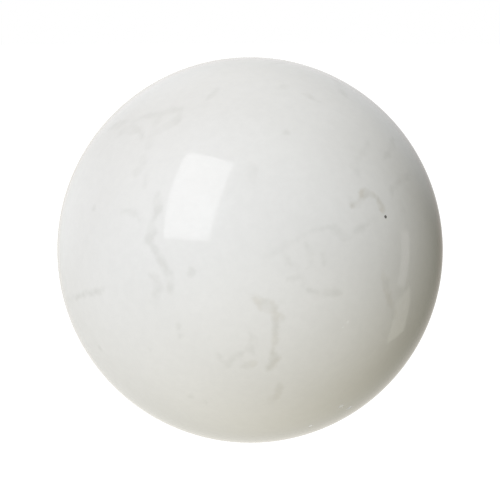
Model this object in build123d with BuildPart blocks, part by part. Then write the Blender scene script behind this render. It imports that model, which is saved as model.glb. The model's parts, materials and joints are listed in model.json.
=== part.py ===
"""A marbled cue ball: a white cast-resin ball with streaks, clouds and flecks of tinted resin set into it.

The tinted resin was poured into the white before it hardened, so every streak lies flush with the polished
surface and reaches a little way into the ball. Each one is its own solid, and the white body has a pocket
of exactly its shape.

Millimetres. The origin is the centre of the ball, +Z is up and -Y is the front.
Places on the ball are a latitude and a longitude in degrees: latitude 90 is the top (+Z), longitude 0 the
front (-Y) and longitude 90 the right side (+X).
"""

from build123d import *
from math import cos, radians, sin
import os

# driving dimensions
ball_diameter = 57.15
streak_depth = 2.0
fleck_depth = 0.6
speck_diameter = 0.46
speck_sunk = 0.06  # how far the grain's middle lies under the surface
speck_latitude, speck_longitude = 18, 41

# worked out from them
ball_radius = ball_diameter / 2

# how the solids are cut
lift = 1.0  # how far outside the ball the pockets' prisms start
prism_length = 9.0  # reaches below the floor of the widest streak
tip = 1.3  # a streak's pointed end goes on past its last spot by this many half widths
seam_turn = (0, 0, 19)  # puts the seam line of every sphere at longitude 109, where no streak crosses it

# A streak is drawn on the plane that touches the ball at its place, x to the east and y to the north, as
# one or more branches. A branch is a row of spots (x, y, half width) that its smooth outline swells round.
# node name: latitude, longitude, branches
streaks = {
    "upper_left_cloud": (42, -41, [
        [
            (-9.6, 1.4, 0.35), (-7.7, 2.0, 0.5), (-5.1, 2.3, 0.55), (-2.8, 3.0, 0.4), (-0.8, 3.5, 0.45),
            (1.1, 4.2, 0.5), (3.0, 5.1, 0.4),
        ],
        [(3.1, 5.0, 0.4), (3.4, 3.6, 0.45), (3.3, 2.4, 0.6), (2.4, 1.1, 0.55), (1.2, 0.2, 0.4)],
        [(0.2, 3.6, 0.3), (0.5, 1.8, 0.3), (1.1, 0.1, 0.4), (1.7, -1.8, 0.3)],
        [(-7.4, 1.5, 0.6), (-4.9, 0.7, 0.85), (-2.6, 0.7, 0.7), (-0.8, 0.1, 0.5), (-0.1, -0.8, 0.3)],
    ]),
    "left_drift": (32, -37, [
        [(0.0, 1.4, 0.35), (0.0, 0.2, 0.6), (-0.2, -0.9, 0.4)],
        [(1.7, -1.4, 0.35), (1.9, -2.1, 0.35)],
    ]),
    "left_wavy_vein": (10, -25, [
        [
            (-0.9, 7.2, 0.35), (-0.8, 6.3, 0.6), (-0.8, 5.2, 0.5), (-1.1, 4.0, 0.35), (-0.9, 2.9, 0.7),
            (-1.3, 1.8, 0.65), (-0.7, 0.8, 0.45), (0.8, -1.0, 0.5), (1.6, -2.1, 0.5), (2.0, -4.6, 0.25),
        ],
        [(-0.9, -2.8, 0.25), (0.5, -4.1, 0.5), (0.1, -5.2, 0.45), (-0.3, -6.4, 0.35)],
    ]),
    "left_wisp": (19, -34, [
        [(-2.0, 0.4, 0.2), (-0.8, 0.6, 0.3), (0.3, 0.2, 0.25), (1.0, -0.3, 0.3), (1.8, -0.4, 0.2)],
    ]),
    "left_edge_line": (-6, -55, [
        [
            (-6.5, -2.3, 0.3), (-4.8, -1.7, 0.35), (-3.0, -1.1, 0.35), (-1.2, -0.4, 0.3), (0.7, 0.3, 0.3),
            (2.5, 0.9, 0.25), (4.4, 1.5, 0.2), (6.1, 2.1, 0.15),
        ],
    ]),
    "top_dash": (60, -19, [
        [(-0.4, -1.4, 0.35), (-0.1, -0.5, 0.35), (0.3, 0.8, 0.2)],
    ]),
    "top_right_flecks": (58, 28, [
        [(-2.5, 1.6, 0.25), (-1.8, 2.2, 0.3)],
        [(0.5, 0.1, 0.25), (1.0, -0.6, 0.4), (1.4, -1.3, 0.25)],
    ]),
    "upper_right_smudge": (59, 60, [
        [(3.1, 2.8, 0.3), (0.4, 0.3, 0.5), (-0.6, -0.8, 0.55), (-1.6, -1.9, 0.3)],
    ]),
    "centre_cloud": (32, 1, [
        [(-0.4, 1.2, 0.35), (-0.2, 0.1, 0.6), (0.0, -0.9, 0.35)],
    ]),
    "right_hook_vein": (23, 37, [
        [
            (-3.1, -0.3, 0.25), (-2.1, 0.0, 0.4), (-1.3, 0.8, 0.5), (-0.3, 1.0, 0.4), (0.9, 0.2, 0.3),
            (1.5, -0.7, 0.35), (1.8, -1.5, 0.3),
        ],
    ]),
    "long_diagonal_vein": (15, 20, [
        [
            (-8.0, -2.2, 0.2), (-7.0, -1.8, 0.4), (-5.5, -1.0, 0.35), (-4.3, -0.5, 0.25), (-2.9, 0.3, 0.25),
            (-1.5, 0.7, 0.35), (0.0, 0.9, 0.25), (0.9, 0.9, 0.45), (1.7, 0.7, 0.5), (2.7, -0.2, 0.35),
            (3.6, -0.6, 0.3), (4.8, 0.3, 0.3), (6.4, 1.0, 0.25), (8.3, 1.8, 0.25),
        ],
    ]),
    "centre_right_loops": (8, 14, [
        [
            (-2.3, 1.2, 0.2), (-2.2, 0.6, 0.25), (-1.5, -0.1, 0.3), (-0.3, -0.5, 0.25), (0.7, -0.4, 0.3),
            (0.9, 0.8, 0.2), (0.7, 1.9, 0.25), (0.2, 2.6, 0.2),
        ],
    ]),
    "centre_right_dashes": (2, 18, [
        [(-3.9, 1.3, 0.25), (-3.0, 1.4, 0.35), (-2.3, 1.2, 0.35), (-2.4, 0.3, 0.25)],
        [(-1.3, -0.4, 0.2), (-0.1, -0.8, 0.4), (1.4, -1.0, 0.4), (3.4, -1.1, 0.2)],
        [(0.5, 4.0, 0.2), (0.6, 3.0, 0.2)],
    ]),
    "drop_vein": (-9, 6, [
        [(-2.3, 4.1, 0.4), (-1.6, 3.7, 0.75), (-0.8, 3.3, 0.8), (0.0, 2.7, 0.65), (0.7, 2.0, 0.4)],
        [
            (0.3, 2.4, 0.35), (0.4, 0.9, 0.25), (0.3, -0.6, 0.22), (0.1, -2.2, 0.25), (0.0, -3.1, 0.35),
            (0.4, -4.3, 0.55), (0.1, -5.3, 0.45), (-0.5, -5.9, 0.25),
        ],
    ]),
    "lower_blot": (-19, -4, [
        [(0.5, 1.4, 0.25), (-0.2, 0.8, 0.45), (-1.0, -0.1, 0.5), (-1.8, 0.2, 0.4), (-2.0, 1.2, 0.25)],
    ]),
    "lower_brown_dash": (-19, -1, [
        [(-0.6, -0.5, 0.3), (0.1, -0.3, 0.45), (0.8, -0.1, 0.4)],
    ]),
    "lower_middle_wisp": (-13, 0, [
        [(0.1, 1.4, 0.2), (0.2, 0.1, 0.35), (0.4, -1.3, 0.25)],
    ]),
    "lower_tail": (-30, 8, [
        [(0.4, 1.5, 0.3), (0.2, 0.4, 0.45), (-0.4, -1.5, 0.3)],
    ]),
    "right_cloud": (35, 38, [
        [(2.8, 2.1, 0.3), (1.3, 0.9, 0.45), (-0.3, -0.2, 0.45), (-1.3, -1.0, 0.7), (-1.1, -2.1, 0.4)],
    ]),
    "right_upper_wisp": (36, 56, [
        [(2.5, 1.3, 0.35), (0.6, 0.3, 0.5), (-1.1, -0.5, 0.35), (-2.8, -1.0, 0.25)],
    ]),
    "right_edge_wisp": (28, 56, [
        [(1.6, -0.3, 0.35), (-0.5, -0.4, 0.4), (-2.2, -0.8, 0.4), (-4.0, -1.4, 0.3), (-4.6, -2.3, 0.2)],
    ]),
    "right_low_streak": (-4, 41, [
        [(-1.4, 3.4, 0.35), (-1.1, 2.1, 0.6), (-0.6, 0.5, 0.5), (0.4, -1.4, 0.35), (1.3, -2.9, 0.3)],
    ]),
    "left_side_vein": (12, -96, [
        [
            (-6.2, 4.6, 0.3), (-3.4, 3.6, 0.6), (-1.6, 2.0, 0.4), (-0.4, 0.4, 0.5), (1.4, -2.4, 0.7),
            (1.2, -4.6, 0.4), (0.4, -6.4, 0.25),
        ],
        [(-0.6, 0.6, 0.35), (1.2, 1.7, 0.35), (3.0, 1.4, 0.4), (5.2, 1.8, 0.2)],
    ]),
    "left_side_cloud": (-38, -84, [
        [(-3.2, 0.9, 0.3), (-1.4, 0.5, 0.7), (0.2, -0.5, 0.5), (1.6, -0.5, 0.8), (3.2, -1.8, 0.3)],
    ]),
    "left_side_loops": (44, -118, [
        [
            (-3.0, 1.6, 0.2), (-1.2, 2.2, 0.35), (0.8, 1.4, 0.25), (1.5, -0.3, 0.4), (0.2, -1.7, 0.3),
            (-1.6, -1.4, 0.2),
        ],
    ]),
    "right_side_vein": (-8, 84, [
        [
            (-3.2, 6.0, 0.25), (-1.8, 3.8, 0.5), (-1.6, 1.6, 0.35), (-0.6, -0.6, 0.45), (0.8, -2.8, 0.65),
            (1.0, -5.6, 0.25),
        ],
    ]),
    "right_side_hook": (34, 100, [
        [(-3.3, -1.2, 0.25), (-2.2, 0.6, 0.5), (-0.6, 1.5, 0.35), (1.2, 1.0, 0.55), (2.2, -1.4, 0.3)],
    ]),
    "right_side_dashes": (-30, 92, [
        [(-2.4, 0.6, 0.2), (-0.6, 0.9, 0.35), (1.4, 0.4, 0.2)],
        [(1.2, -1.4, 0.2), (2.2, -1.9, 0.4), (3.4, -1.9, 0.25)],
    ]),
    "back_long_vein": (6, 150, [
        [
            (-8.6, 3.2, 0.2), (-6.4, 2.9, 0.4), (-4.2, 1.8, 0.3), (-2.0, 1.0, 0.35), (0.8, 0.2, 0.65),
            (2.6, -1.0, 0.35), (5.0, -1.7, 0.4), (8.0, -2.6, 0.2),
        ],
    ]),
    "back_fork_vein": (24, -142, [
        [(-4.8, 4.2, 0.3), (-3.0, 2.8, 0.6), (-1.4, 1.2, 0.6), (0.2, -1.2, 0.45), (-0.2, -4.6, 0.25)],
        [(-1.6, 1.6, 0.4), (0.6, 2.2, 0.3), (2.8, 3.0, 0.5), (5.4, 2.2, 0.2)],
    ]),
    "back_cloud": (52, 168, [
        [(-3.8, -1.6, 0.4), (-1.6, -0.2, 0.9), (0.4, 0.2, 0.6), (2.4, 0.9, 0.9), (4.8, -0.2, 0.35)],
    ]),
    "back_loops": (-4, -176, [
        [
            (-3.2, 0.4, 0.2), (-2.0, 1.9, 0.35), (-0.2, 2.3, 0.25), (1.2, 1.1, 0.35), (1.0, -0.8, 0.25),
            (-0.6, -1.8, 0.3), (-1.8, -3.4, 0.2),
        ],
    ]),
    "back_low_vein": (-26, -150, [
        [(-3.8, -3.6, 0.25), (-2.2, -1.6, 0.5), (-1.4, 0.8, 0.4), (-0.4, 2.6, 0.5), (0.8, 4.6, 0.25)],
        [(-1.9, -1.0, 0.4), (0.0, -1.4, 0.3), (1.8, -1.8, 0.45), (4.0, -3.6, 0.2)],
    ]),
    "back_low_streak": (-34, 124, [
        [(-4.4, 1.4, 0.25), (-2.2, 1.2, 0.5), (-0.4, 0.2, 0.4), (1.8, -0.8, 0.7), (4.6, -1.2, 0.25)],
    ]),
    "crown_wisp": (78, 70, [
        [(-3.4, 1.2, 0.25), (-1.8, 0.3, 0.5), (-0.2, 0.6, 0.3), (1.8, 0.9, 0.25)],
    ]),
    "underside_cloud": (-66, -20, [
        [(-3.8, -1.6, 0.3), (-2.2, -1.0, 0.6), (-0.4, -0.4, 0.8), (1.6, 0.8, 0.5), (4.4, 0.8, 0.25)],
    ]),
}

# small flecks of the same tinted resin: latitude, longitude, half length, half width, turn from the east
flecks = [
    (44, 13, 0.45, 0.30, 20), (6, -15, 0.50, 0.35, 70), (20, 49, 0.80, 0.45, 120),
    (-9, -19, 0.45, 0.30, 90), (-12, -19, 0.45, 0.30, 80), (-21, -51, 0.45, 0.30, 60),
    (-17, -29, 0.40, 0.25, 90), (-32, -19, 0.50, 0.35, 15), (-34, -15, 0.50, 0.30, 160),
    (-1, 8, 0.40, 0.25, 120), (38, 37, 0.45, 0.30, 95), (19, -51, 0.35, 0.25, 60),
    (24, 30, 0.40, 0.25, 20), (-14, -118, 0.45, 0.30, 35), (46, -96, 0.50, 0.35, 110),
    (-2, 116, 0.50, 0.35, 150), (-44, 172, 0.60, 0.40, 10), (38, -172, 0.45, 0.30, 75),
    (14, 74, 0.45, 0.30, 130), (-52, 60, 0.50, 0.30, 25), (-28, -110, 0.40, 0.30, 70),
    (62, -150, 0.45, 0.30, 15),
]


def plane_above(latitude, longitude):
    """A plane just outside the ball, square to its radius at a place, with x to the east, y to the north."""
    north, east = radians(latitude), radians(longitude)
    outward = Vector(cos(north) * sin(east), -cos(north) * cos(east), sin(north))
    return Plane(
        origin=outward * (ball_radius + lift),
        x_dir=(cos(east), sin(east), 0),
        z_dir=outward,
    )


def branch_outline(spots):
    """The points of a branch's outline: out along the left of its spots to one tip, back along the right."""
    places = [Vector(x, y) for x, y, _ in spots]
    half_widths = [half_width for _, _, half_width in spots]
    left, right = [], []
    for index, (place, half_width) in enumerate(zip(places, half_widths)):
        way = places[min(index + 1, len(places) - 1)] - places[max(index - 1, 0)]
        side = Vector(-way.Y, way.X).normalized() * half_width
        left.append(place + side)
        right.append(place - side)
    first_tip = places[0] + (places[0] - places[1]).normalized() * tip * half_widths[0]
    last_tip = places[-1] + (places[-1] - places[-2]).normalized() * tip * half_widths[-1]
    return [first_tip, *left, last_tip, *reversed(right)]


os.makedirs("parts", exist_ok=True)

# streaks, veins and clouds of tinted resin: each a prism, cut off flush with the ball and at its own depth
pockets = []
for name, (latitude, longitude, branches) in streaks.items():
    with BuildPart() as pocket:
        with BuildSketch(plane_above(latitude, longitude)):
            for spots in branches:
                with BuildLine():
                    Spline(*branch_outline(spots), periodic=True)
                make_face()
        extrude(amount=-prism_length)
        Sphere(ball_radius - streak_depth, rotation=seam_turn, mode=Mode.SUBTRACT)
    pockets.append(pocket.part)

    with BuildPart() as streak:
        add(pocket.part)
        Sphere(ball_radius, rotation=seam_turn, mode=Mode.INTERSECT)
    streak.part.label = name
    export_step(streak.part, f"parts/{name}.step")

# flecks: short oval plugs of tinted resin, all in one node
with BuildPart() as fleck_pockets:
    for latitude, longitude, half_length, half_width, turn in flecks:
        with BuildSketch(plane_above(latitude, longitude)):
            Ellipse(half_length, half_width, rotation=turn)
        extrude(amount=-lift - fleck_depth)
pockets.append(fleck_pockets.part)

with BuildPart() as scattered_flecks:
    add(fleck_pockets.part)
    Sphere(ball_radius, rotation=seam_turn, mode=Mode.INTERSECT)
scattered_flecks.part.label = "scattered_flecks"
export_step(scattered_flecks.part, "parts/scattered_flecks.step")

# one dark round grain of grit caught in the surface and polished off with it
with BuildPart() as speck_pocket:
    with Locations(plane_above(speck_latitude, speck_longitude).offset(-lift - speck_sunk)):
        Sphere(speck_diameter / 2)
pockets.append(speck_pocket.part)

with BuildPart() as dark_speck:
    add(speck_pocket.part)
    Sphere(ball_radius, rotation=seam_turn, mode=Mode.INTERSECT)
dark_speck.part.label = "dark_speck"
export_step(dark_speck.part, "parts/dark_speck.step")

# the white body: one solid casting, with a pocket for every piece of tinted resin
with BuildPart() as ball_body:
    Sphere(ball_radius, rotation=seam_turn)
    add(pockets, mode=Mode.SUBTRACT)
ball_body.part.label = "ball_body"
export_step(ball_body.part, "parts/ball_body.step")
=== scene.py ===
"""Looks of a marbled cue ball: cast white resin with streaks, clouds and flecks of tinted resin set into it.

Every piece is rebuilt on one fine net of points over the whole ball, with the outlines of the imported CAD
model's streaks as edges of the net. So a streak and the white body round it share each point of the seam,
and the polished surface runs over it without a step. Metres, in the frame of the CAD model.
"""

import json
import math

import bpy
import numpy as np
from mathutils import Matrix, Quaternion, Vector, kdtree
from mathutils.geometry import delaunay_2d_cdt


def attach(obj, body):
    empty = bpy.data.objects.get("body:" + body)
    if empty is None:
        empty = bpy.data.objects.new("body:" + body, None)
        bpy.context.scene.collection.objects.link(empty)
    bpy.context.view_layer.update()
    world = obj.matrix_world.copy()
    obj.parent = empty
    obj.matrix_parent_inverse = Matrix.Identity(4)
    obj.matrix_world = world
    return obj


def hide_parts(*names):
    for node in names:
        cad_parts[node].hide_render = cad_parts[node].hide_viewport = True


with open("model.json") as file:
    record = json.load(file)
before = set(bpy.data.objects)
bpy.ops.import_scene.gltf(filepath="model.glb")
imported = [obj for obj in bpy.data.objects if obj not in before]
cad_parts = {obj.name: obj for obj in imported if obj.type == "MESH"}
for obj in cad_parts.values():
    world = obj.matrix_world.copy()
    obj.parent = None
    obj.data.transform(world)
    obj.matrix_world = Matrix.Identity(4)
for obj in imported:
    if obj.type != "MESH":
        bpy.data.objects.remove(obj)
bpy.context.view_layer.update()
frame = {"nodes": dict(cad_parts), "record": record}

MM = 0.001

# the net of points, in millimetres
OUTLINE_STEP = 0.15
OUTLINE_SMOOTHING = 0.12
GRAIN_STEP = 0.03  # the dark grain's outline has shorter steps and isn't smoothed
FINE_SPACING = 0.21
WIDE_SPACING = 0.52
FINE_REACH = 1.3  # how far from an outline the net stays fine
CLEAR_OF_OUTLINE = 0.11
HALO = 1.2  # how far outside an outline a streak's tint can still be seen
WELD = 0.0001  # CAD vertices closer together than this are one point
ON_SURFACE = 0.001  # how far a CAD vertex on the ball's surface may be from it
FLECK_SIZE = 2.0  # no fleck reaches further than this from the middle of its outline
BURIED = 2.0  # the distance inside an outline that the points in the pockets are given

OVERSAMPLING = 8  # an outline is smoothed on this many times its own points
FEWEST_POINTS = 12  # of an outline
FACING_OUT = 0.9  # cosine: a face whose normal leans more than this towards the radius is on the surface
ACROSS_RADIUS = 0.5  # cosine: a face whose normal leans less than this towards the radius is a pocket's wall
SAME_POINT = 1e-9  # in the flattened net
TINY = 1e-30  # keeps a normal of no length from being divided by nothing
HEXAGON = 0.866  # the area that one point of an even net holds, over the spacing squared
GRAIN_DEPTH = 0.9  # depth of the dark grain under the surface, over its radius
GRAIN_RIM = 0.04  # keeps the edge of the grain's bowl from closing to nothing

# nicks in the polish: latitude, longitude, radius and depth in millimetres
NICKS = [
    (-8.4, 26.6, 0.30, 0.030),
    (-9.7, 25.4, 0.20, 0.030),
    (-39.9, 35.1, 0.50, 0.014),
    (-42.6, 41.7, 0.55, 0.014),
    (-49.4, 27.2, 0.36, 0.012),
    (12.0, 131.0, 0.22, 0.030),
    (-21.0, -148.0, 0.24, 0.035),
    (33.0, -118.0, 0.18, 0.025),
]
NICK_RINGS = 6  # rings of points round a nick's middle
RINGS_INSIDE = 5  # of which so many are inside its rim
NICK_CLEARANCE = 1.35  # the rest of the net keeps this many radii away
CRUSHED_REACH = 1.15  # the crushed resin fades out at this many radii

# how strongly a streak is tinted, where it isn't as strong as most
STRENGTHS = {
    "right_hook_vein": 0.95,
    "drop_vein": 0.46,
    "left_edge_line": 0.44,
    "right_low_streak": 0.36,
    "left_wavy_vein": 0.34,
    "upper_right_smudge": 0.3,
    "centre_right_dashes": 0.3,
    "scattered_flecks": 0.3,
    "lower_brown_dash": 0.29,
    "right_upper_wisp": 0.28,
    "long_diagonal_vein": 0.28,
    "lower_blot": 0.27,
    "centre_right_loops": 0.25,
    "left_wisp": 0.24,
    "lower_tail": 0.24,
    "top_dash": 0.23,
    "right_edge_wisp": 0.22,
    "upper_left_cloud": 0.22,
    "lower_middle_wisp": 0.22,
    "left_drift": 0.2,
    "right_cloud": 0.16,
    "centre_cloud": 0.14,
}
USUAL_STRENGTH = 0.38
GREY_WARMTH = 0.1  # how far a grey streak's tint goes towards beige

# colours of the resin and the grain
WHITE = (0.845, 0.845, 0.83, 1)
CLOUDED_WHITE = (0.825, 0.825, 0.805, 1)
MOTTLED_WHITE = (0.80, 0.80, 0.785, 1)
# a nick's colour: partly the whitening of crushed resin, partly a painted highlight standing in for its glint
CRUSHED_WHITE_AND_PAINTED_GLINT = (0.93, 0.93, 0.92, 1)
GREY_TINT = (0.80, 0.805, 0.79, 1)
BEIGE_TINT = (0.80, 0.765, 0.69, 1)
DARK_GRIT = (0.07, 0.07, 0.065, 1)
PALE_GRIT = (0.20, 0.195, 0.18, 1)

# the camera looks at the middle of the ball from the front
CAMERA_ELEVATION = 12
LENS = 85
SENSOR_WIDTH = 36
BALL_IN_FRAME = 0.3858  # the radius of the ball's outline over the frame's width

# Soft lights all round the ball: azimuth from the front towards the right, elevation, spread, colour.
# Most of these numbers weren't chosen by hand: a least-squares fit to the shading of the photographed ball
# gave them, and they were rounded and adjusted a little since.
SOFT_LIGHTS = {
    "front_low": (18, -53, 0.22, (0.70, 0.66, 0.53)),
    "left": (-140, 17, 0.8, (0.36, 0.39, 0.45)),
    "back_low": (-141, -42, 0.27, (0.90, 0.90, 0.87)),
    "back_high": (166, 36, 0.64, (0.73, 0.79, 0.89)),
    "back": (175, -8, 0.77, (0.19, 0.155, 0.125)),
    "right_high": (75, 47, 0.62, (0.37, 0.40, 0.415)),
    "right_low": (118, -50, 0.5, (0.02, 0.02, 0.01)),
    "overhead": (-148, 71, 0.0, (0.175, 0.115, 0.0)),
}

FLOOR_RADIUS = 1.6
FLOOR_SIDES = 96
FLOOR_GLOW = 1.25
FLOOR_GLOW_SHARE = 0.86  # the rest of the floor's brightness is light that falls on it

body_name = "ball_body"
grain_name = "dark_speck"
fleck_name = "scattered_flecks"
slot_of = {subpart["node"]: subpart["material_slot"] for subpart in frame["record"]["subparts"]}
streaks = sorted(node for node in frame["nodes"] if node != body_name)


def points_of(node):
    """A CAD node's vertices."""
    mesh = frame["nodes"][node].data
    places = np.empty(len(mesh.vertices) * 3, np.float32)
    mesh.vertices.foreach_get("co", places)
    return places.reshape(-1, 3).astype(float)


ball_radius = np.linalg.norm(points_of(body_name), axis=1).max()


def place(latitude, longitude):
    """The unit vector to a latitude and longitude: longitude 0 is the front (-Y), 90 the right side (+X)."""
    north, east = math.radians(latitude), math.radians(longitude)
    return np.array([math.cos(north) * math.sin(east), -math.cos(north) * math.cos(east), math.sin(north)])


def directed_edges(faces):
    """Every edge of the triangles, from its start to its end as the triangle runs."""
    return {(int(face[i]), int(face[(i + 1) % 3])) for face in faces for i in range(3)}


def boundary(faces):
    """The edges that only one of the faces has, in that face's direction."""
    edges = directed_edges(faces)
    return np.array(sorted(edge for edge in edges if (edge[1], edge[0]) not in edges))


def outlines_on_ball(node):
    """The closed outlines of a node's faces on the ball's surface, each a row of points round its face."""
    places = points_of(node)
    mesh = frame["nodes"][node].data
    corners = np.array([p.vertices[:] for p in mesh.polygons if len(p.vertices) == 3])
    keys = np.round(places / (WELD * MM)).astype(np.int64)
    _, first, welded = np.unique(keys, axis=0, return_index=True, return_inverse=True)
    welded = welded.reshape(-1)
    on_ball = np.abs(np.linalg.norm(places, axis=1) - ball_radius) < ON_SURFACE * MM
    triangles = corners[on_ball[corners].all(axis=1)]
    a, b, c = (places[triangles[:, i]] for i in range(3))
    normal = np.cross(b - a, c - a)
    facing = (normal * a).sum(1) > FACING_OUT * np.linalg.norm(normal, axis=1) * ball_radius
    edges = directed_edges(welded[triangles[facing]])
    following = {start: end for start, end in edges if (end, start) not in edges}
    found = []
    while following:
        start, end = following.popitem()
        loop = [start]
        while end != start:
            loop.append(end)
            end = following.pop(end)
        found.append(places[first[loop]])
    return found


def even_outline(loop, step, smoothing):
    """An outline with even steps along it, its corners rounded a little, on the ball's surface."""
    closed = np.vstack([loop, loop[:1]])
    along = np.concatenate([[0], np.cumsum(np.linalg.norm(np.diff(closed, axis=0), axis=1))])
    count = OVERSAMPLING * max(FEWEST_POINTS, int(round(along[-1] / step)))
    stations = np.arange(count) * along[-1] / count
    track = np.stack([np.interp(stations, along, closed[:, i]) for i in range(3)], axis=1)
    waves = np.fft.fftfreq(count, d=along[-1] / count)
    damping = np.exp(-2 * (math.pi * waves * smoothing) ** 2)
    track = np.fft.ifft(np.fft.fft(track, axis=0) * damping[:, None], axis=0).real[::OVERSAMPLING]
    return track / np.linalg.norm(track, axis=1)[:, None] * ball_radius


def lattice(spacing):
    """Points spread evenly over the ball on a spiral, that far apart."""
    count = int(4 * math.pi * ball_radius**2 / (HEXAGON * spacing**2))
    index = np.arange(count) + 0.5
    height = 1 - 2 * index / count
    turn = index * math.pi * (1 + math.sqrt(5))
    out = np.sqrt(1 - height**2)
    return np.stack([out * np.cos(turn), out * np.sin(turn), height], axis=1) * ball_radius


def nick_points(direction, radius):
    """Rings of points round a nick, close enough together to hold its shape."""
    side = np.cross(direction, (0.0, 0.0, 1.0))
    side /= np.linalg.norm(side)
    over = np.cross(direction, side)
    found = [direction]
    for ring in range(1, NICK_RINGS + 1):
        reach = radius * ring / RINGS_INSIDE / ball_radius
        for step in range(6 * ring):
            angle = 2 * math.pi * (step + ring / 2) / (6 * ring)
            found.append(direction + (side * math.cos(angle) + over * math.sin(angle)) * reach)
    found = np.array(found)
    return found / np.linalg.norm(found, axis=1)[:, None] * ball_radius


# outlines of every streak, fleck and grain
outlines, owners = [], []
for node in streaks:
    step, smoothing = (GRAIN_STEP, 0.0) if node == grain_name else (OUTLINE_STEP, OUTLINE_SMOOTHING)
    for loop in outlines_on_ball(node):
        outlines.append(even_outline(loop, step * MM, smoothing * MM))
        owners.append(node)
outline_points = np.vstack(outlines)
outline_of_point = np.concatenate([np.full(len(outline), i) for i, outline in enumerate(outlines)])
outline_tree = kdtree.KDTree(len(outline_points))
for index, point in enumerate(outline_points):
    outline_tree.insert(point, index)
outline_tree.balance()


def nearest_outline(points):
    """For each point, how far the nearest outline is and which point of it that is."""
    found = [outline_tree.find(point)[1:] for point in points]
    return np.array([distance for _, distance in found]), np.array([index for index, _ in found])


# the net: fine near the outlines, wide elsewhere, and rings at the nicks
nick_centres = np.array([place(latitude, longitude) for latitude, longitude, _, _ in NICKS])
nick_radii = np.array([radius for _, _, radius, _ in NICKS]) * MM
nick_depths = np.array([depth for _, _, _, depth in NICKS]) * MM
fine = lattice(FINE_SPACING * MM)
fine_away, _ = nearest_outline(fine)
fine = fine[(fine_away < FINE_REACH * MM) & (fine_away > CLEAR_OF_OUTLINE * MM)]
wide = lattice(WIDE_SPACING * MM)
wide_away, _ = nearest_outline(wide)
wide = wide[wide_away > (FINE_REACH + 0.5 * FINE_SPACING) * MM]
loose = np.vstack([fine, wide])
for centre, radius in zip(nick_centres, nick_radii):
    loose = loose[np.linalg.norm(loose - centre * ball_radius, axis=1) > NICK_CLEARANCE * radius]
rings = np.vstack([nick_points(centre, radius) for centre, radius in zip(nick_centres, nick_radii)])
loose = np.vstack([loose, rings])
pole = np.array([0.0, 0.0, -ball_radius])
loose = loose[np.linalg.norm(loose - pole, axis=1) > 0.5 * WIDE_SPACING * MM]
net = np.vstack([outline_points, loose])

# flattened from the lowest point of the ball, which keeps every circle a circle
flat = 2 * net[:, :2] / (ball_radius + net[:, 2:3])
loops, holes, start = [], set(), 0
for index, outline in enumerate(outlines):
    loop = np.arange(start, start + len(outline))
    start += len(outline)
    across, up = flat[loop].T
    if (across * np.roll(up, -1) - np.roll(across, -1) * up).sum() < 0:
        holes.add(index)  # white resin shows through a streak here
        loop = loop[::-1]
    loops.append(loop.tolist())
made = delaunay_2d_cdt([Vector(point) for point in flat], [], loops, 0, SAME_POINT, True)
_, _, made_faces, from_points, _, from_outlines = made
source = np.array([points[0] if points else -1 for points in from_points])
triangles = source[np.array(made_faces)]
owner = np.array([inside[0] if inside and not holes.intersection(inside) else -1 for inside in from_outlines])
if (source < 0).any():
    raise RuntimeError("two outlines cross: the net has points that are in no outline")

# the hole round the lowest point is closed with a fan
rim = sorted((end, start) for start, end in boundary(triangles))
net = np.vstack([net, pole])
fan = np.array([(start, end, len(net) - 1) for start, end in rim])
triangles = np.vstack([triangles, fan])
owner = np.concatenate([owner, np.full(len(fan), -1)])

# how far each point is from the nearest outline, in millimetres: positive inside a streak
away, nearest = nearest_outline(net)
away = away / MM
away[: len(outline_points)] = 0
inside = np.zeros(len(net), bool)
inside[triangles[owner >= 0].ravel()] = True
edge = np.clip(np.where(inside, away, -away), -HALO, None)

# the tint that the nearest streak has
strengths = np.array([0.0 if node == grain_name else STRENGTHS.get(node, USUAL_STRENGTH) for node in owners])
warmths = np.array([1.0 if slot_of[node] == "beige_resin" else GREY_WARMTH for node in owners])
nearest_streak = outline_of_point[nearest]

# the nicks are pressed into the surface and marked as crushed resin, whose whiter colour is partly its own
# and partly a painted glint
surface = net.copy()
crushed_and_glint = np.zeros(len(net))
for centre, radius, depth in zip(nick_centres, nick_radii, nick_depths):
    reach = np.linalg.norm(net - centre * ball_radius, axis=1) / radius
    dip = np.clip(1 - reach**2, 0, None) ** 2
    surface -= net / ball_radius * (depth * dip)[:, None]
    crushed_and_glint = np.maximum(crushed_and_glint, np.clip(CRUSHED_REACH - reach, 0, 1))

# what the materials read at each point of the net, and what they read at the points in the pockets
looks = {"edge": edge, "tint": strengths[nearest_streak], "warm": warmths[nearest_streak], "chip": crushed_and_glint}
looks_in_pockets = {"edge": BURIED, "tint": 0.0, "warm": 0.0, "chip": 0.0}


def way_out(node):
    """The direction in which a node's pocket was cut: its walls all run along it."""
    places = points_of(node)
    total = np.zeros((3, 3))
    for polygon in frame["nodes"][node].data.polygons:
        a, b, c = (places[i] for i in polygon.vertices[:3])
        normal = np.cross(b - a, c - a)
        if abs(normal @ a) < ACROSS_RADIUS * np.linalg.norm(normal) * np.linalg.norm(a):
            total += np.outer(normal, normal) / max(np.linalg.norm(normal), TINY)
    direction = np.linalg.eigh(total)[1][:, 0]
    return direction if direction @ places.mean(axis=0) > 0 else -direction


def middle_of(index):
    """The middle of an outline, and the direction to it."""
    middle = outlines[index].mean(axis=0)
    return middle, middle / np.linalg.norm(middle)


def fleck_floor(index):
    """How far from the middle of the ball the flat floor of a fleck is."""
    middle, direction = middle_of(index)
    places = points_of(fleck_name)
    near = places[np.linalg.norm(places - middle, axis=1) < FLECK_SIZE * MM]
    return (near @ direction).min()


def sunk(points, direction, depth):
    """Points on the ball moved into it along a direction, to that much less than the ball's radius."""
    along = points @ direction
    inner = (ball_radius - depth) ** 2
    return points - direction * (along - np.sqrt(along**2 - ball_radius**2 + inner))[:, None]


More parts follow.
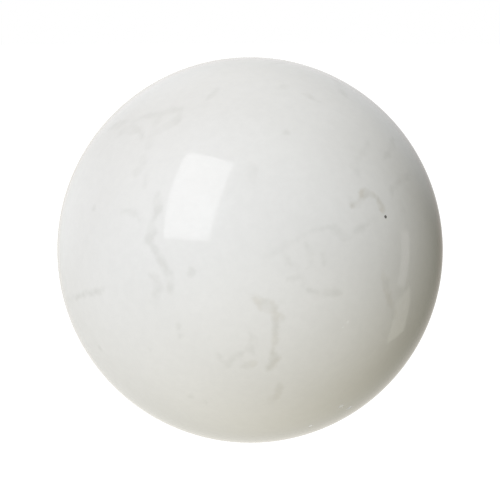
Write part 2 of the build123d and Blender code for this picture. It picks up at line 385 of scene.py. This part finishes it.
def floor_of(index, points):
    """Where the points of one outline's patch lie on the floor of its pocket."""
    node = owners[index]
    _, direction = middle_of(index)
    if node == grain_name:
        reach = np.linalg.norm(points - direction * ball_radius, axis=1)
        radius = np.linalg.norm(outlines[index] - direction * ball_radius, axis=1).mean()
        drop = GRAIN_DEPTH * radius * np.sqrt(np.clip(1 - (reach / radius) ** 2, GRAIN_RIM, None))
        return points - direction * drop[:, None]
    if node == fleck_name:
        return points - direction * (points @ direction - fleck_floor(index))[:, None]
    return sunk(points, ways[node], depths[node])


ways = {node: way_out(node) for node in streaks if node not in (grain_name, fleck_name)}
depths = {node: ball_radius - np.linalg.norm(points_of(node), axis=1).min() for node in ways}


class Patch:
    """The part of the net inside one outline, and the floor of the pocket under it."""

    def __init__(self, index):
        self.faces = triangles[owner == index]
        self.points = np.unique(self.faces)
        self.numbers = np.full(len(net), -1)  # each net point's number within the patch
        self.numbers[self.points] = np.arange(len(self.points))
        self.floor = floor_of(index, net[self.points])
        self.rim = boundary(self.faces)


patches = {node: [] for node in streaks}
for index, node in enumerate(owners):
    if index not in holes:
        patches[node].append(Patch(index))


def walls(rim, top, bottom):
    """Two triangles for each rim edge, between the points at the top and those at the bottom."""
    start, end = rim[:, 0], rim[:, 1]
    return np.vstack([
        np.stack([top[start], bottom[start], bottom[end]], axis=1),
        np.stack([top[start], bottom[end], top[end]], axis=1),
    ])


def corner_normals(places, faces, outer, nicked):
    """A normal for each corner: the sphere's on the polish, the surface's own at a nick, flat inside."""
    a, b, c = (places[faces[:, i]] for i in range(3))
    face_normals = np.cross(b - a, c - a)
    outward = places / np.linalg.norm(places, axis=1)[:, None]
    bent = np.zeros_like(places)
    for i in range(3):
        np.add.at(bent, faces[outer, i], face_normals[outer])
    bent /= np.maximum(np.linalg.norm(bent, axis=1), TINY)[:, None]
    polished = np.where(nicked[:, None], bent, outward)
    face_normals /= np.maximum(np.linalg.norm(face_normals, axis=1), TINY)[:, None]
    normals = np.repeat(face_normals, 3, axis=0)
    outer_corners = np.repeat(outer, 3)
    normals[outer_corners] = polished[faces.ravel()][outer_corners]
    return normals


def new_piece(name, node, places, faces, outer, attributes):
    """A closed mesh that replaces a CAD node: outer says which faces are the polished surface."""
    mesh = bpy.data.meshes.new(name)
    mesh.vertices.add(len(places))
    mesh.vertices.foreach_set("co", places.astype(np.float32).ravel())
    mesh.loops.add(3 * len(faces))
    mesh.loops.foreach_set("vertex_index", faces.astype(np.int32).ravel())
    mesh.polygons.add(len(faces))
    mesh.polygons.foreach_set("loop_start", np.arange(len(faces), dtype=np.int32) * 3)
    mesh.update(calc_edges=True)
    for key, values in attributes.items():
        mesh.attributes.new(key, "FLOAT", "POINT").data.foreach_set("value", values.astype(np.float32))
    sharp = mesh.attributes.get("sharp_face") or mesh.attributes.new("sharp_face", "BOOLEAN", "FACE")
    sharp.data.foreach_set("value", ~outer)
    mesh.normals_split_custom_set(corner_normals(places, faces, outer, attributes["chip"] > 0).tolist())
    piece = bpy.data.objects.new(name, mesh)
    bpy.context.scene.collection.objects.link(piece)
    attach(piece, "root")
    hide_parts(node)
    return piece


def body_piece():
    """The white body: the net outside every outline, and a pocket under every patch."""
    places, faces = [surface], [triangles[owner < 0]]
    outer = [np.ones(len(faces[0]), bool)]
    count = len(net)
    top = np.arange(len(net))
    for patch in sum(patches.values(), []):
        bottom = patch.numbers + count
        pocket = np.vstack([bottom[patch.faces], walls(patch.rim, top, bottom)])
        places.append(patch.floor)
        faces.append(pocket)
        outer.append(np.zeros(len(pocket), bool))
        count += len(patch.points)
    places, faces = np.vstack(places), np.vstack(faces)
    kept = np.unique(faces)
    renumbered = np.full(count, -1)
    renumbered[kept] = np.arange(len(kept))
    attributes = {
        name: np.concatenate([values, np.full(count - len(net), looks_in_pockets[name])])[kept]
        for name, values in looks.items()
    }
    return new_piece(
        "white_resin_body", body_name, places[kept], renumbered[faces], np.concatenate(outer), attributes)


def inlay_piece(node):
    """The tinted resin of one node: its patches, each closed by a floor and walls."""
    places, faces, outer, points, count = [], [], [], [], 0
    for patch in patches[node]:
        top = patch.numbers + count
        bottom = top + len(patch.points)
        side = walls(patch.rim[:, ::-1], top, bottom)
        places += [surface[patch.points], patch.floor]
        faces += [top[patch.faces], bottom[patch.faces][:, ::-1], side]
        outer += [np.ones(len(patch.faces), bool), np.zeros(len(patch.faces) + len(side), bool)]
        points += [patch.points, patch.points]
        count += 2 * len(patch.points)
    points = np.concatenate(points)
    attributes = {name: values[points] for name, values in looks.items()}
    return new_piece(
        node + "_inlay", node, np.vstack(places), np.vstack(faces), np.concatenate(outer), attributes)


body = body_piece()
inlays = {node: inlay_piece(node) for node in streaks}


class Nodes:
    """A small helper to write the node tree of a material or a world as expressions."""

    def __init__(self, owner):
        owner.use_nodes = True
        self.tree = owner.node_tree
        self.tree.nodes.clear()

    def add(self, kind, **settings):
        node = self.tree.nodes.new(kind)
        for key, value in settings.items():
            setattr(node, key, value)
        return node

    def link(self, value, socket):
        if isinstance(value, bpy.types.NodeSocket):
            self.tree.links.new(value, socket)
        else:
            socket.default_value = value

    def math(self, operation, a, b):
        node = self.add("ShaderNodeMath", operation=operation)
        self.link(a, node.inputs[0])
        self.link(b, node.inputs[1])
        return node.outputs[0]

    def ramp(self, value, low, high, to_low=0.0, to_high=1.0):
        """A smooth rise from to_low to to_high, while the value goes from low to high."""
        node = self.add("ShaderNodeMapRange", interpolation_type="SMOOTHSTEP")
        names = ("Value", "From Min", "From Max", "To Min", "To Max")
        for name, item in zip(names, (value, low, high, to_low, to_high)):
            self.link(item, node.inputs[name])
        return node.outputs[0]

    def noise(self, where, scale, detail=2.0, roughness=0.5):
        node = self.add("ShaderNodeTexNoise")
        names = ("Vector", "Scale", "Detail", "Roughness")
        for name, item in zip(names, (where, scale, detail, roughness)):
            self.link(item, node.inputs[name])
        return node.outputs["Fac"]

    def mix(self, factor, a, b, blend="MIX"):
        node = self.add("ShaderNodeMix", data_type="RGBA", blend_type=blend)
        self.link(factor, node.inputs["Factor"])
        self.link(a, node.inputs[6])
        self.link(b, node.inputs[7])
        return node.outputs[2]

    def attribute(self, name):
        return self.add("ShaderNodeAttribute", attribute_name=name).outputs["Fac"]

    def millimetres(self):
        """The place on the ball, in millimetres."""
        scaled = self.add("ShaderNodeVectorMath", operation="SCALE")
        self.link(self.add("ShaderNodeTexCoord").outputs["Object"], scaled.inputs[0])
        scaled.inputs["Scale"].default_value = 1 / MM
        return scaled.outputs[0]

    def seen_by(self, camera_shader, other_shader):
        """One shader for what the camera sees directly, and another for every other ray."""
        choice = self.add("ShaderNodeMixShader")
        self.link(self.add("ShaderNodeLightPath").outputs["Is Camera Ray"], choice.inputs[0])
        self.link(other_shader.outputs[0], choice.inputs[1])
        self.link(camera_shader.outputs[0], choice.inputs[2])
        return choice

    def finish(self, shader, kind="ShaderNodeOutputMaterial"):
        self.link(shader.outputs[0], self.add(kind).inputs["Surface"])


def resin(name):
    """Cast resin: white, with the tint of the streaks soft at their outlines and patchy inside them."""
    material = bpy.data.materials.new(name)
    n = Nodes(material)
    where = n.millimetres()
    # the outline wanders, and the tint comes and goes along a streak
    wander = n.noise(where, 0.7, detail=3.0)
    edge_at = n.math("ADD", n.attribute("edge"), n.math("MULTIPLY", n.math("SUBTRACT", wander, 0.5), 1.6))
    body_of_tint = n.ramp(edge_at, -0.5, 0.42)
    density = n.ramp(n.noise(where, 0.38), 0.32, 0.68, to_low=0.4, to_high=1.35)
    amount = n.math("MULTIPLY", n.math("MULTIPLY", body_of_tint, density), n.attribute("tint"))
    warm_patches = n.ramp(n.noise(where, 0.33), 0.35, 0.65, to_low=0.25)
    tint = n.mix(n.math("MULTIPLY", n.attribute("warm"), warm_patches), GREY_TINT, BEIGE_TINT)
    # very faint clouding and mottling of the white itself
    clouding = n.ramp(n.noise(where, 0.11, detail=3.0, roughness=0.6), 0.35, 0.65, to_high=0.35)
    mottling = n.ramp(n.noise(where, 0.75, detail=4.0, roughness=0.7), 0.3, 0.7)
    white = n.mix(clouding, WHITE, CLOUDED_WHITE)
    white = n.mix(n.math("MULTIPLY", mottling, 0.5), white, MOTTLED_WHITE)
    colour = n.mix(amount, white, n.mix(1.0, white, tint, "MULTIPLY"))
    # a nick is painted whiter: partly the whitening of crushed resin, partly a painted glint
    colour = n.mix(n.math("MULTIPLY", n.attribute("chip"), 0.8), colour, CRUSHED_WHITE_AND_PAINTED_GLINT)
    # the polish is even, with a slight haze and a very fine ripple, and dull at a nick
    haze = n.ramp(n.noise(where, 0.25, detail=4.0), 0.3, 0.7, to_low=0.06, to_high=0.085)
    gloss = n.math("ADD", haze, n.math("MULTIPLY", n.attribute("chip"), 0.25))
    bump = n.add("ShaderNodeBump")
    bump.inputs["Strength"].default_value = 0.03
    bump.inputs["Distance"].default_value = 0.01 * MM
    n.link(n.noise(where, 3.0, detail=3.0), bump.inputs["Height"])
    # the crushed resin of a nick glints where it is seen at a low angle
    slant = n.add("ShaderNodeLayerWeight").outputs["Facing"]
    glint = n.math("MULTIPLY", n.ramp(n.attribute("chip"), 0.1, 0.6), n.ramp(slant, 0.33, 0.43))
    shader = n.add("ShaderNodeBsdfPrincipled")
    shader.inputs["IOR"].default_value = 1.5
    n.link(colour, shader.inputs["Base Color"])
    n.link(gloss, shader.inputs["Roughness"])
    n.link(glint, shader.inputs["Metallic"])
    n.link(bump.outputs[0], shader.inputs["Normal"])
    n.finish(shader)
    return material


def grit(name):
    """A dark mineral grain, polished off with the ball."""
    material = bpy.data.materials.new(name)
    n = Nodes(material)
    where = n.millimetres()
    shader = n.add("ShaderNodeBsdfPrincipled")
    n.link(n.mix(n.noise(where, 9.0, detail=3.0), DARK_GRIT, PALE_GRIT), shader.inputs["Base Color"])
    n.link(n.ramp(n.noise(where, 14.0), 0.3, 0.7, to_low=0.25, to_high=0.5), shader.inputs["Roughness"])
    n.finish(shader)
    return material


def pale_floor(name):
    """A sheet that looks evenly white to the camera and isn't there for the light round the ball."""
    material = bpy.data.materials.new(name)
    n = Nodes(material)
    paper = n.add("ShaderNodeBsdfDiffuse")
    paper.inputs["Color"].default_value = (0.9, 0.9, 0.9, 1)
    lit = n.add("ShaderNodeEmission")
    lit.inputs["Color"].default_value = (1, 1, 1, 1)
    lit.inputs["Strength"].default_value = FLOOR_GLOW
    sheet = n.add("ShaderNodeMixShader")
    sheet.inputs[0].default_value = FLOOR_GLOW_SHARE
    n.link(paper.outputs[0], sheet.inputs[1])
    n.link(lit.outputs[0], sheet.inputs[2])
    n.finish(n.seen_by(sheet, n.add("ShaderNodeBsdfTransparent")))
    return material


material_of = {slot: resin(slot) for slot in ("white_resin", "grey_resin", "beige_resin")}
material_of[slot_of[grain_name]] = grit("dark_grain")
body.data.materials.append(material_of[slot_of[body_name]])
for node, inlay in inlays.items():
    inlay.data.materials.append(material_of[slot_of[node]])


# the camera: as far away as makes the ball's outline its share of the frame
camera_data = bpy.data.cameras.new("camera")
camera_data.lens = LENS
camera_data.sensor_width = SENSOR_WIDTH
camera_data.clip_start, camera_data.clip_end = 0.005, 5
half_angle = math.atan(BALL_IN_FRAME * SENSOR_WIDTH / LENS)
back = Vector(place(CAMERA_ELEVATION, 0))
camera = bpy.data.objects.new("camera", camera_data)
camera.location = back * (ball_radius / math.sin(half_angle))
camera.rotation_mode = "QUATERNION"
camera.rotation_quaternion = (-back).to_track_quat("-Z", "Y")
bpy.context.scene.collection.objects.link(camera)
bpy.context.scene.camera = camera
bpy.context.scene.view_settings.view_transform = "Standard"

# the studio: soft light all round the ball, and white behind it
world = bpy.data.worlds.new("studio")
bpy.context.scene.world = world
n = Nodes(world)
direction = n.add("ShaderNodeTexCoord").outputs["Generated"]
total = (0.0, 0.0, 0.0)
for azimuth, elevation, spread, colour in SOFT_LIGHTS.values():
    towards = n.add("ShaderNodeVectorMath", operation="DOT_PRODUCT")
    n.link(direction, towards.inputs[0])
    n.link(tuple(place(elevation, azimuth)), towards.inputs[1])
    glow = n.add("ShaderNodeVectorMath", operation="SCALE")
    n.link(colour, glow.inputs[0])
    n.link(n.ramp(towards.outputs["Value"], spread, 1.0), glow.inputs["Scale"])
    plus = n.add("ShaderNodeVectorMath", operation="ADD")
    n.link(total, plus.inputs[0])
    n.link(glow.outputs[0], plus.inputs[1])
    total = plus.outputs[0]
studio = n.add("ShaderNodeBackground")
n.link(total, studio.inputs["Color"])
backdrop = n.add("ShaderNodeBackground")
backdrop.inputs["Color"].default_value = (1, 1, 1, 1)
n.finish(n.seen_by(backdrop, studio), "ShaderNodeOutputWorld")

# the floor: a pale round sheet under the ball
turns = [2 * math.pi * i / FLOOR_SIDES for i in range(FLOOR_SIDES)]
corners = [(FLOOR_RADIUS * math.cos(turn), FLOOR_RADIUS * math.sin(turn), -ball_radius) for turn in turns]
floor_mesh = bpy.data.meshes.new("floor")
floor_mesh.from_pydata(corners, [], [list(range(FLOOR_SIDES))])
floor_mesh.materials.append(pale_floor("pale_floor"))
floor = bpy.data.objects.new("floor", floor_mesh)
bpy.context.scene.collection.objects.link(floor)


def softbox(name, azimuth, elevation, away, width, height, turn, colour, radiance, mirrored=True):
    """A rectangular light aimed at the ball, which gives that radiance, and which the ball may mirror."""
    data = bpy.data.lights.new(name, "AREA")
    data.shape = "RECTANGLE"
    data.size, data.size_y = width, height
    data.color = colour
    data.energy = radiance * math.pi * width * height
    lamp = bpy.data.objects.new(name, data)
    aim = Vector(place(elevation, azimuth))
    lamp.location = aim * away
    lamp.rotation_mode = "QUATERNION"
    lamp.rotation_quaternion = aim.to_track_quat("Z", "Y") @ Quaternion((0, 0, 1), math.radians(turn))
    lamp.visible_camera = False
    lamp.visible_glossy = mirrored
    bpy.context.scene.collection.objects.link(lamp)


softbox("window", azimuth=-39.2, elevation=38.3, away=0.9, width=0.455, height=0.77, turn=4.5,
        colour=(0.98, 0.98, 1.02), radiance=2.0)
softbox("key", azimuth=-26, elevation=29, away=0.9, width=0.35, height=0.35, turn=0,
        colour=(0.96, 1.0, 1.09), radiance=12.8, mirrored=False)
softbox("side_strip_high", azimuth=98.5, elevation=-5, away=0.92, width=0.12, height=0.33, turn=-14,
        colour=(1.0, 0.97, 0.95), radiance=0.7)
softbox("side_strip_low", azimuth=105, elevation=-26, away=0.95, width=0.20, height=0.30, turn=32,
        colour=(1.0, 0.98, 0.88), radiance=0.6)
